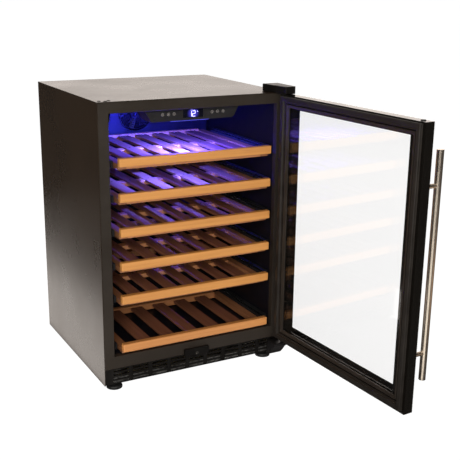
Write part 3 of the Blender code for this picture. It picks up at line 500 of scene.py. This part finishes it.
def build_rack(number, body, lowest):
    """The slatted rack: slats, side rails, cross rails and the screws that hold the slats."""
    rack_low, rack_high = BOX[f"shelf_rack_{number}"]
    top = BOX[f"shelf_front_{number}"][1].z
    slat_top, rail_top, rail_low = top - SLAT_DROP, top - RAIL_DROP, rack_low.z
    count, width, pitch = LOW_SLATS if lowest else SLATS
    slat_places = [(n - (count - 1) / 2) * pitch for n in range(count)]
    half, inner = rack_high.x, rack_high.x - SIDE_RAIL_WIDTH
    front, back = rack_low.y, rack_high.y

    slats = bmesh.new()
    for x in slat_places:
        low = (x - width / 2, front + 0.0004, slat_top - SLAT_THICK)
        add_box(slats, low, (x + width / 2, back - SIDE_RAIL_WIDTH + 0.003, slat_top), 0.0016, 3)
    make_piece(f"{body}_slats", slats, SLAT, body, [f"shelf_rack_{number}"])

    sides = bmesh.new()
    for side in (-1, 1):
        x0, x1 = sorted((side * inner, side * half))
        add_box(sides, (x0, front, rail_low), (x1, back, rail_top), 0.0014, 3)
    make_piece(f"{body}_side_rails", sides, SIDE_RAIL, body)

    cross = bmesh.new()
    front_rail = (inner, front + FRONT_RAIL_WIDTH, slat_top - SLAT_THICK - 0.0002)
    add_box(cross, (-inner, front, rail_low), front_rail, 0.001, 2)
    back_rail = (inner, back - 0.001, rack_high.z)
    add_box(cross, (-inner, back - BACK_RAIL_WIDTH, rail_low), back_rail, 0.0014, 3)
    if not lowest:
        start, end = MIDDLE_RAIL
        add_box(cross, (-inner, start, rail_low + 0.002), (inner, end, rail_top - 0.0005), 0.0014, 3)
    make_piece(f"{body}_cross_rails", cross, RAIL, body)

    screws = bmesh.new()
    rows = [front + SCREW_IN_FRONT, back - SCREW_IN_BACK]
    if not lowest:
        rows.insert(1, FRONT + 0.215)
    for y in rows:
        for x in slat_places:
            add_turned(screws, SCREW_HEAD, Matrix.Translation((x, y, slat_top - 0.0001)), 12)
    make_piece(f"{body}_screws", screws, BRIGHT, body)


def build_slides(number, body):
    """The sliding members under the rack, and the ball cages between them and the fixed runners."""
    runner_low, runner_high = BOX[f"runner_{number}_right"]
    rail_low = BOX[f"shelf_rack_{number}"][0].z
    middle = (runner_low.z + runner_high.z) / 2
    slides, balls = bmesh.new(), bmesh.new()
    for side in (-1, 1):
        x0, x1 = sorted(side * x for x in SLIDE_X)
        outline = rectangle(x0, x1, middle - SLIDE_HALF, middle + SLIDE_HALF)
        add_prism(slides, outline, "Y", runner_low.y + 0.004, runner_high.y - 0.006, 0.0012, 2)
        flange_low = (min(side * FLANGE_X, x0), runner_low.y + 0.01, rail_low - 0.0015)
        flange_high = (max(side * FLANGE_X, x1), runner_high.y - 0.06, rail_low - 0.0003)
        add_box(slides, flange_low, flange_high, 0.0003, 1)
        x = side * CAGE_X
        cage = rectangle(x - CAGE_HALF_THICK, x + CAGE_HALF_THICK, middle - CAGE_HALF, middle + CAGE_HALF)
        add_prism(balls, cage, "Y", runner_low.y + CAGE_REACH[0], runner_low.y + CAGE_REACH[1])
        for n in range(BALLS):
            y = runner_low.y + BALL_START + n * BALL_PITCH
            for z in (middle - BALL_RISE, middle + BALL_RISE):
                place = Matrix.Translation((x, y, z))
                bmesh.ops.create_icosphere(balls, subdivisions=1, radius=BALL_RADIUS, matrix=place)
    make_piece(f"{body}_slides", slides, RUNNER, body)
    make_piece(f"{body}_ball_cages", balls, BRIGHT, "cabinet")


def build_shelf(number):
    body, lowest = f"shelf_{number}", number == LOWEST
    trim = bmesh.new()
    add_box(trim, *BOX[f"shelf_front_{number}"], 0.0028, 4)
    # The lowest trim takes the darker copy of the beech, which is painted shade.
    wood_look = SHADED_BEECH if lowest else BEECH
    make_piece(f"{body}_trim", trim, wood_look, body, [f"shelf_front_{number}"])
    build_rack(number, body, lowest)
    build_slides(number, body)


for shelf in SHELVES:
    build_shelf(shelf)


# ---------------------------------------------------------------- door
# Closed profiles of (inset, out) that run round the door's inner face.
SEAL = [
    (0.0000, -0.0262), (0.0000, -0.0290), (0.0012, -0.0298), (0.0012, -0.0316), (0.0000, -0.0324),
    (0.0002, -0.0350), (0.0018, -0.0364), (0.0120, -0.0364), (0.0134, -0.0356), (0.0140, -0.0340),
    (0.0146, -0.0322), (0.0166, -0.0306), (0.0188, -0.0298), (0.0190, -0.0262),
]
LEDGE_PROFILE = [
    (0.0225, -0.0254), (0.0225, -0.0288), (0.0235, -0.0294), (0.0262, -0.0288), (0.0266, -0.0280),
    (0.0300, -0.0266), (0.0316, -0.0256), (0.0318, -0.0222), (0.0303, -0.0222), (0.0303, -0.0254),
]
# Left, right, low and high edges: of the seal, and of the clear part of each pane.
SEAL_EDGES = (0.001, 0.577, 0.0695, 0.8255)
INNER_CLEAR = (0.036, 0.528, 0.104, 0.791)
OUTER_CLEAR = (0.046, 0.530, 0.109, 0.789)
INNER_PANE_INSET, OUTER_PANE_INSET = (0.0425, 0.0320), (0.0012, 0.0012)
# Where each border's print starts and ends, through the door.
INNER_PRINT, OUTER_PRINT = (0.0177, 0.0179), (-0.00405, -0.00385)
HANDLE_X, HANDLE_Y, POST_HEIGHTS = -0.5527, -0.0624, (0.206, 0.660)
# Each post's collar, in two steps: from, to, radius.
COLLAR_STEPS = ((0.0076, 0.0102, 0.0092), (0.0102, 0.0122, 0.0078))
CAP_X, CAP_Y = -0.5600, 0.0105
CAP = [(0, 0.0024), (0.0050, 0.0024), (0.0066, 0.0016), (0.0068, -0.001), (0, -0.001)]


def build_border(name, inset, clear, depths):
    """The black print round a pane's clear part, in four strips."""
    beside, above = inset
    left, right = HINGE_EDGE + beside, FREE_EDGE - beside
    low, high = DOOR_LOW + above, DOOR_HIGH - above
    clear_left, clear_right, clear_low, clear_high = clear
    back, front = depths
    strips = (
        (left, right, low, clear_low),
        (left, right, clear_high, high),
        (left, clear_left, clear_low, clear_high),
        (clear_right, right, clear_low, clear_high),
    )
    border = bmesh.new()
    for u0, u1, z0, z1 in strips:
        add_box(border, (-u1, back, z0), (-u0, front, z1))
    make_piece(name, border, PRINT, "door", (), DOOR)


def build_door():
    seal = bmesh.new()
    add_frame(seal, *SEAL_EDGES, SEAL)
    make_piece("door_seal", seal, RUBBER, "door", ["door_gasket"], DOOR)

    ledge = bmesh.new()
    add_frame(ledge, *SEAL_EDGES, LEDGE_PROFILE)
    make_piece("inner_ledge", ledge, LEDGE, "door", (), DOOR)

    build_border("inner_border", INNER_PANE_INSET, INNER_CLEAR, INNER_PRINT)
    build_border("outer_border", OUTER_PANE_INSET, OUTER_CLEAR, OUTER_PRINT)

    trim = bmesh.new()
    for z in POST_HEIGHTS:
        for near, far, radius in COLLAR_STEPS:
            add_rod(trim, (HANDLE_X, -near, z), (HANDLE_X, -far, z), radius, 28)
    low, high = BOX["door_handle"]
    for z, way in ((low.z, 1), (high.z, -1)):
        start = (HANDLE_X, HANDLE_Y, z + way * 0.0010)
        add_rod(trim, start, (HANDLE_X, HANDLE_Y, z + way * 0.0022), 0.0098, 32, 0.0004)
    make_piece("handle_trim", trim, BRIGHT, "door", (), DOOR)

    caps = bmesh.new()
    add_turned(caps, CAP, Matrix.Translation((CAP_X, CAP_Y, DOOR_HIGH)), 24)
    add_turned(caps, CAP, Matrix.Translation((CAP_X, CAP_Y, DOOR_LOW)) @ Matrix.Rotation(pi, 4, "X"), 24)
    make_piece("door_caps", caps, BLACK, "door", (), DOOR)


build_door()


# ---------------------------------------------------------------- cabinet front and inside
FAN_CENTRES, FAN_HEIGHT = (0.0, -0.145), 0.720
COVER_FRONT = BOX["evaporator_cover"][0].y
GRILLE_RIM = [
    (0.0545, -0.0002), (0.0575, -0.0002), (0.0585, 0.0012), (0.0575, 0.0024), (0.0553, 0.0024),
    (0.0545, 0.0012),
]
GRILLE_HUB = [(0, 0.0020), (0.0030, 0.0018), (0.0044, 0.0008), (0.0044, -0.0004), (0, -0.0004)]
GRILLE_RINGS, FIRST_RING, RING_PITCH = 7, 0.0095, 0.0065


def build_grilles():
    rings = bmesh.new()
    for x in FAN_CENTRES:
        place = facing((x, COVER_FRONT - 0.0008, FAN_HEIGHT), (0, -1, 0))
        add_turned(rings, GRILLE_RIM, place, 56, closed=True)
        for n in range(GRILLE_RINGS):
            r = FIRST_RING + n * RING_PITCH
            low_part = [(r - 0.0010, 0.0), (r + 0.0010, 0.0), (r + 0.0011, 0.0012)]
            add_turned(rings, low_part + [(r, 0.0018), (r - 0.0011, 0.0012)], place, 48, closed=True)
        add_turned(rings, GRILLE_HUB, place, 24)
        for n in range(4):
            arm = Matrix.Rotation(pi / 4 + n * pi / 2, 4, "Z") @ Matrix.Translation((0.0295, 0, -0.0004))
            add_cube(rings, place @ arm, (0.052, 0.0024, 0.0012))
    make_piece("fan_grilles", rings, LINER, "cabinet")


# The bars that each figure lights, named as on any seven-segment display.
SEGMENTS = {"1": "bc", "2": "abged"}
DIGIT_HIGH = 0.0155


def add_digit(mesh, sign, x, z, y, size):
    """A seven-segment figure, its bars drawn as thin blocks."""
    wide, high, bar = size * 0.55, size, size * 0.13
    bars = {
        "a": (0, high / 2, wide, bar), "g": (0, 0, wide, bar), "d": (0, -high / 2, wide, bar),
        "f": (-wide / 2, high / 4, bar, high / 2), "b": (wide / 2, high / 4, bar, high / 2),
        "e": (-wide / 2, -high / 4, bar, high / 2), "c": (wide / 2, -high / 4, bar, high / 2),
    }
    for name in SEGMENTS[sign]:
        cx, cz, w, h = bars[name]
        add_box(mesh, (x + cx - w / 2, y - 0.0002, z + cz - h / 2), (x + cx + w / 2, y, z + cz + h / 2))


def build_display():
    low, high = BOX["display_window"]
    y, middle = low.y - 0.0001, (low.z + high.z) / 2 - 0.001
    digits = bmesh.new()
    add_digit(digits, "1", -0.0095, middle, y, DIGIT_HIGH)
    add_digit(digits, "2", 0.0020, middle, y, DIGIT_HIGH)
    place = facing((0.0135, y, middle + 0.0055), (0, -1, 0))
    degree_ring = [(0.0010, 0), (0.0017, 0), (0.0017, 0.0002), (0.0010, 0.0002)]
    add_turned(digits, degree_ring, place, 16, closed=True)
    for k in range(3):
        x = -0.0080 + 0.005 * k
        add_box(digits, (x, y - 0.0002, high.z - 0.0030), (x + 0.0028, y, high.z - 0.0022))
    make_piece("display_digits", digits, DIGIT, "cabinet")


def build_display_glow():
    """The window's lit face: dark glass with a blue halo round the figures."""
    low, high = BOX["display_window"]
    middle = ((low.x + high.x) / 2, low.y, (low.z + high.z) / 2)
    g = Graph("display_glow", colour=rgb(0.004, 0.004, 0.010), rough=0.12)
    place = g.node("ShaderNodeTexCoord").outputs["Object"]
    away = g.node("ShaderNodeVectorMath", {0: place, 1: middle}, operation="DISTANCE").outputs["Value"]
    values = {"Value": away, "From Min": 0.006, "From Max": 0.021, "To Min": 0.55, "To Max": 0.0}
    halo = g.node("ShaderNodeMapRange", values, interpolation_type="SMOOTHSTEP").outputs["Result"]
    speck = g.spread(g.noise(900.0), 0.8, 1.1)
    g.shader.inputs["Emission Color"].default_value = rgb(0.10, 0.08, 1.0)
    g.link(glow_power=g.maths("MULTIPLY", halo, speck))
    face = bmesh.new()
    inset = 0.001
    front = (low.x + inset, low.y - 0.00008, low.z + inset)
    add_box(face, front, (high.x - inset, low.y - 0.00002, high.z - inset))
    make_piece("display_face", face, g.material, "cabinet")


# Each key's strokes: across, up, width, height and turn. Each drawing is generic.
STROKES = {
    "key_power": [(0, 0.0008, 0.0005, 0.0024, 0), (0, -0.0012, 0.0022, 0.0005, 0)],
    "key_light": [(0, 0, 0.0034, 0.0004, k * pi / 3) for k in range(3)],
    "key_scale": [(-0.0008, 0, 0.0005, 0.0030, 0.3), (0.0008, 0, 0.0005, 0.0030, -0.3)],
    "key_up": [(-0.0008, 0, 0.0026, 0.0005, -0.7), (0.0008, 0, 0.0026, 0.0005, 0.7)],
    "key_down": [(-0.0008, 0, 0.0026, 0.0005, 0.7), (0.0008, 0, 0.0026, 0.0005, -0.7)],
    "key_set": [(0, dz, 0.0034, 0.0004, 0) for dz in (-0.0010, 0, 0.0010)],
}
ICON_RING = [(0.0036, -0.0001), (0.0041, -0.0001), (0.0041, 0.0001), (0.0036, 0.0001)]
ICON_THICK = 0.0002


def build_icons():
    """A ring and a plain line drawing on each key, in pale print with a painted glow."""
    for name, strokes in STROKES.items():
        low, high = BOX[name]
        x, z, y = (low.x + high.x) / 2, (low.z + high.z) / 2, low.y - 0.00012
        icon = bmesh.new()
        add_turned(icon, ICON_RING, facing((x, y, z), (0, -1, 0)), 28, closed=True)
        for across, up, width, height, turn in strokes:
            place = Matrix.Translation((x + across, y, z + up)) @ Matrix.Rotation(turn, 4, "Y")
            add_cube(icon, place, (width, ICON_THICK, height))
        make_piece(f"{name}_icon", icon, ICON_PAINTED_GLOW, f"{name}_cap")


PLUG_DOME = [
    (0, 0.0016), (0.0032, 0.0014), (0.0050, 0.0008), (0.0058, 0.0001), (0.0058, -0.0006), (0, -0.0006),
]
PLUG_PLACES = ((-0.284, FRONT + 0.020), (-0.270, FRONT + 0.011), (-0.257, FRONT + 0.020))


def build_top_plugs():
    """Plastic plugs in the spare hinge's holes, on the top's front left corner."""
    plugs = bmesh.new()
    z = BOX["outer_casing"][1].z
    for x, y in PLUG_PLACES:
        add_turned(plugs, PLUG_DOME, Matrix.Translation((x, y, z)), 20)
    make_piece("top_plugs", plugs, BLACK, "cabinet")


# Ends and radius of the bright bars behind the vent, and how far apart they are.
GLINTS = ((-0.2660, -0.2440, 0.0016), (0.1750, 0.2120, 0.0008))
GLINT_PITCH = 0.0115


def build_vent_glints():
    """Bright ends of the condenser's fin pack, seen through the vent's outer slots."""
    fins = bmesh.new()
    low, high = BOX["vent_grille"]
    y = high.y + 0.0020
    for row in (-0.5, 0.5, 1.5):
        z = (low.z + high.z) / 2 + row * GLINT_PITCH
        for start, end, radius in GLINTS:
            add_rod(fins, (start, y, z), (end, y, z), radius, 10, 0.0003)
    make_piece("condenser_fins", fins, BRIGHT, "cabinet")


def build_hinge_gusset():
    """The lower bracket's pressed gusset: deep against the cabinet and tapering out under the pin."""
    low, high = BOX["lower_hinge_bracket"]
    wall, tip = FRONT - 0.0004, low.y
    outline = [
        (wall, 0.0442), (tip + 0.0040, 0.0442), (tip, 0.0415), (tip, 0.0355), (tip + 0.012, 0.0260),
        (tip + 0.024, 0.0130), (tip + 0.031, 0.0020), (tip + 0.037, -0.0030), (wall, -0.0034),
    ]
    gusset = bmesh.new()
    add_prism(gusset, outline, "X", 0.2515, high.x + 0.0012, 0.0014, 3)
    make_piece("hinge_gusset", gusset, ENAMEL, "cabinet")


build_grilles()
build_display()
build_display_glow()
build_icons()
build_top_plugs()
build_vent_glints()
build_hinge_gusset()


# ---------------------------------------------------------------- floor and light
FLOOR_RADIUS = 120.0
UNDER_FLOOR = -0.015
ROOM_GLOW = 0.05


def build_stage():
    g = Graph("pale_floor", rough=0.8, specular=0.1, glow=rgb(1, 1, 1), glow_power=1.0)
    tone = g.mix(g.spread(g.noise(3.0), 0.0, 1.0), rgb(0.15, 0.15, 0.15), rgb(0.17, 0.17, 0.168))
    g.link(colour=tone)
    mesh = bmesh.new()
    bmesh.ops.create_circle(mesh, cap_ends=True, segments=96, radius=FLOOR_RADIUS)
    data = bpy.data.meshes.new("floor")
    mesh.to_mesh(data)
    mesh.free()
    data.materials.append(g.material)
    floor = bpy.data.objects.new("floor", data)
    bpy.context.scene.collection.objects.link(floor)
    floor.location.z = CAD_BOX[0].z
    floor.visible_glossy = False


def only_on(light, names):
    """Keeps a light to the named objects."""
    group = bpy.data.collections.new(f"{light.name}_receivers")
    for name in names:
        group.objects.link(frame["nodes"][name] if name in frame["nodes"] else bpy.data.objects[name])
    light.light_linking.receiver_collection = group


def area_light(name, place, target, size, power, colour, spread=pi):
    data = bpy.data.lights.new(name, "AREA")
    data.shape = "RECTANGLE"
    data.size, data.size_y = size
    data.energy = power
    data.color = colour
    data.spread = spread
    light = bpy.data.objects.new(name, data)
    bpy.context.scene.collection.objects.link(light)
    away = Vector(place) - Vector(target)
    light.matrix_world = Matrix.Translation(place) @ away.to_track_quat("Z", "Y").to_matrix().to_4x4()
    light.visible_camera = False
    return light


def reflector(name, x, y, size, power, colour):
    """A glowing card that lies on the floor's level, faces up, and shows in gloss."""
    return area_light(name, (x, y, UNDER_FLOOR), (x, y, 1.0), size, power, colour)


def build_world():
    """White behind everything for the camera, and a dim warm room for the rest."""
    world = bpy.data.worlds.new("studio")
    bpy.context.scene.world = world
    world.use_nodes = True
    nodes, links = world.node_tree.nodes, world.node_tree.links
    room, white = nodes["Background"], nodes.new("ShaderNodeBackground")
    room.inputs["Color"].default_value = rgb(1.0, 0.93, 0.86)
    room.inputs["Strength"].default_value = ROOM_GLOW
    white.inputs["Color"].default_value = rgb(1, 1, 1)
    seen, choose = nodes.new("ShaderNodeLightPath"), nodes.new("ShaderNodeMixShader")
    links.new(seen.outputs["Is Camera Ray"], choose.inputs[0])
    links.new(room.outputs[0], choose.inputs[1])
    links.new(white.outputs[0], choose.inputs[2])
    links.new(choose.outputs[0], nodes["World Output"].inputs["Surface"])


# Name starts of what the display's light leaves out: the door's pieces, so that no violet falls on its
# frame. They leave out the casing and the inner liner too, whose names start in the same way.
OFF_DISPLAY_LIGHT = ("door_", "inner_", "outer_", "handle_")


def build_lights():
    area_light("key", (-1.6, -3.4, 1.8), (0.0, -0.2, 0.4), (2.4, 1.6), 108, (1.0, 0.96, 0.92))
    area_light("back", (1.3, 3.2, 2.3), (0.1, 0.0, 1.0), (5.0, 2.6), 66, (1.0, 0.90, 0.83))
    reflector("left_floor", -0.43, 0.8, (0.24, 2.6), 2.9, (1.0, 0.93, 0.87))
    handle_left = reflector("handle_left", -0.75, -1.75, (2.0, 1.6), 11, (1, 0.95, 0.88))
    handle_right = reflector("handle_right", 1.3, -1.7, (0.8, 0.8), 1.1, (1, 0.66, 0.42))
    for light in (handle_left, handle_right):
        only_on(light, ("door_handle", "handle_trim"))

    led = (0.0, FRONT + 0.0615, 0.7560)
    blue, violet = (0.030, 0.034, 1.0), (0.07, 0.12, 1.0)
    strip = area_light("led", led, (0.0, FRONT + 0.20, 0.60), (0.070, 0.010), 28, blue)
    inward, cone = (-0.02, FRONT + 0.15, 0.60), radians(110)
    core = area_light("led_core", led, inward, (0.012, 0.008), 6.0, violet, cone)
    meshes = [obj.name for obj in bpy.data.objects if obj.type == "MESH"]
    lit_pieces = [name for name in meshes if not name.startswith(OFF_DISPLAY_LIGHT)]
    for light in (strip, core):
        only_on(light, lit_pieces)


build_stage()
build_world()
build_lights()
bpy.context.scene.view_settings.view_transform = "Standard"
